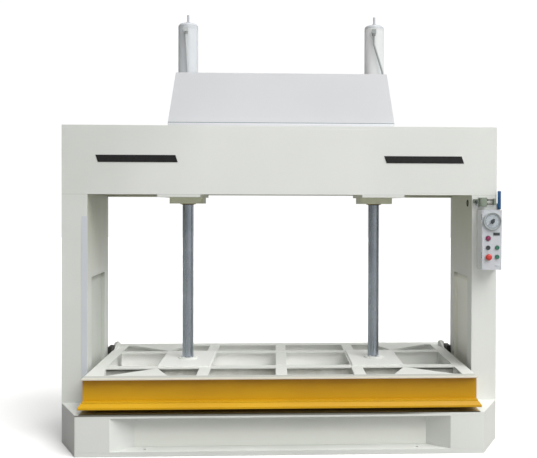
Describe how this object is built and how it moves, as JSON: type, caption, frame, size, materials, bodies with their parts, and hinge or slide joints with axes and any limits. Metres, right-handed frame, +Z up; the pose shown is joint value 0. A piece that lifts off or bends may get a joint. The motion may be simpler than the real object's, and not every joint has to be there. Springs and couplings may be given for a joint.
{
  "type": "hydraulic press",
  "caption": "Wide hydraulic cold press with a down-stroke ribbed platen on chromed rods, portal frame, rooftop hood and a push-button box with a gauge.",
  "frame": {"origin": "on the floor under the middle of the bed's sole plate", "axes": "+Z up, -Y the front with the control box, +X to the right seen from the front"},
  "size_m": [2.873, 1.25, 2.854],
  "materials": {
    "frame_paint": "light grey enamel, satin",
    "hood_paint": "light grey enamel on sheet, satin",
    "platen_paint": "pale warm grey enamel, satin",
    "beam_yellow": "golden yellow enamel, satin",
    "plate_yellow": "golden yellow enamel on the plate edges",
    "box_paint": "bluish light grey powder coat",
    "pale_strip": "pale bluish white",
    "black_trim": "satin black",
    "steel_plain": "machined steel, oiled",
    "rod_chrome": "hard chrome, satin, blue-grey",
    "bolt_steel": "black oxide, worn bright",
    "pipe_steel": "drawn steel tube",
    "pipe_paint": "light grey enamel on pipe",
    "tank_paint": "grey enamel",
    "motor_paint": "blue-grey enamel",
    "cast_alloy": "as cast",
    "shoe_plastic": "black oil-filled nylon",
    "gauge_metal": "grey enamel",
    "ring_grey": "dark grey",
    "seal_rubber": "light grey rubber strip",
    "gland_bronze": "bronze",
    "black_plastic": "black",
    "green_plastic": "green",
    "red_plastic": "red",
    "lamp_plastic": "magenta-red lens",
    "grey_plastic": "grey-green",
    "blue_vinyl": "blue dipped sleeve",
    "dial_white": "pale bluish dial",
    "needle_black": "matt black",
    "gauge_glass": "clear"
  },
  "bodies": {
    "frame": {"bed_bottom_plate": "frame_paint", "bed_ends": "frame_paint", "bed_webs": "frame_paint", "table_plate": "frame_paint", "column_left": "frame_paint", "column_right": "frame_paint", "column_strip": "pale_strip", "crown_girder": "frame_paint", "crown_trim_bars": "black_trim", "saddle_plates": "frame_paint", "cylinder_flanges": "frame_paint", "flange_bolts": "bolt_steel", "gland_bushes": "gland_bronze", "cylinder_left": "frame_paint", "cylinder_right": "frame_paint", "cylinder_caps": "frame_paint", "port_fittings": "pipe_paint", "top_pipes": "pipe_paint", "rod_side_pipes": "pipe_steel", "hood": "hood_paint", "hood_seal": "seal_rubber", "oil_tank": "tank_paint", "tank_lid": "tank_paint", "pump_motor": "motor_paint", "bell_housing": "cast_alloy", "gear_pump": "cast_alloy", "pump_pipes": "pipe_steel", "valve_manifold": "steel_plain", "gauge_line": "pipe_steel", "control_box": "box_paint", "control_box_door": "box_paint", "control_gear": "black_plastic", "gauge_case": "gauge_metal", "gauge_dial": "dial_white", "gauge_glass": "gauge_glass", "button_rings": "ring_grey", "power_lamp": "lamp_plastic", "door_trim": "black_trim", "limit_switch": "grey_plastic", "switch_tubes": "pipe_steel"},
    "platen": {"pressing_plate": "plate_yellow", "platen_front_beam": "beam_yellow", "platen_long_beams": "platen_paint", "platen_end_beams": "platen_paint", "platen_cross_beams": "platen_paint", "gusset_plates": "platen_paint", "foot_plates": "platen_paint", "foot_bolts": "platen_paint", "piston_rods": "rod_chrome", "guide_shoes": "shoe_plastic", "corner_brackets": "platen_paint"},
    "drive": {"motor_shaft": "steel_plain"},
    "valve_handle": {"valve_lever": "blue_vinyl"},
    "needle": {"gauge_needle": "needle_black"},
    "contact_knob": {"gauge_knob": "black_plastic"},
    "black_push": {"black_button": "black_plastic"},
    "upper_green_push": {"green_button_upper": "green_plastic"},
    "lower_green_push": {"green_button_lower": "green_plastic"},
    "stop_push": {"stop_button": "red_plastic"},
    "switch_lever": {"limit_lever": "black_plastic"}
  },
  "joints": [
    {"name": "platen_travel", "type": "slide", "parent": "frame", "child": "platen", "axis": [0, 0, 1], "range_m": [-0.03, 1]},
    {"name": "motor_turn", "type": "hinge", "parent": "frame", "child": "drive", "pos_m": [0.35, 0.12, 2.174], "axis": [1, 0, 0], "continuous": true},
    {"name": "valve_turn", "type": "hinge", "parent": "frame", "child": "valve_handle", "pos_m": [1.437, -0.335, 1.533], "axis": [0, 1, 0], "range_deg": [0, 90]},
    {"name": "needle_turn", "type": "hinge", "parent": "frame", "child": "needle", "pos_m": [1.361, -0.447, 1.4445], "axis": [0, 1, 0], "range_deg": [0, 270]},
    {"name": "contact_set", "type": "hinge", "parent": "frame", "child": "contact_knob", "pos_m": [1.361, -0.458, 1.4445], "axis": [0, 1, 0], "range_deg": [-135, 135]},
    {"name": "black_press", "type": "slide", "parent": "frame", "child": "black_push", "axis": [0, 1, 0], "range_m": [0, 0.004], "stiffness_N_per_m": 500},
    {"name": "upper_green_press", "type": "slide", "parent": "frame", "child": "upper_green_push", "axis": [0, 1, 0], "range_m": [0, 0.004], "stiffness_N_per_m": 500},
    {"name": "lower_green_press", "type": "slide", "parent": "frame", "child": "lower_green_push", "axis": [0, 1, 0], "range_m": [0, 0.004], "stiffness_N_per_m": 500},
    {"name": "stop_press", "type": "slide", "parent": "frame", "child": "stop_push", "axis": [0, 1, 0], "range_m": [0, 0.005], "stiffness_N_per_m": 800},
    {"name": "lever_swing", "type": "hinge", "parent": "frame", "child": "switch_lever", "pos_m": [1.279, -0.35, 1.573], "axis": [0, 1, 0], "range_deg": [0, 20], "stiffness_Nm_per_rad": 0.5}
  ]
}
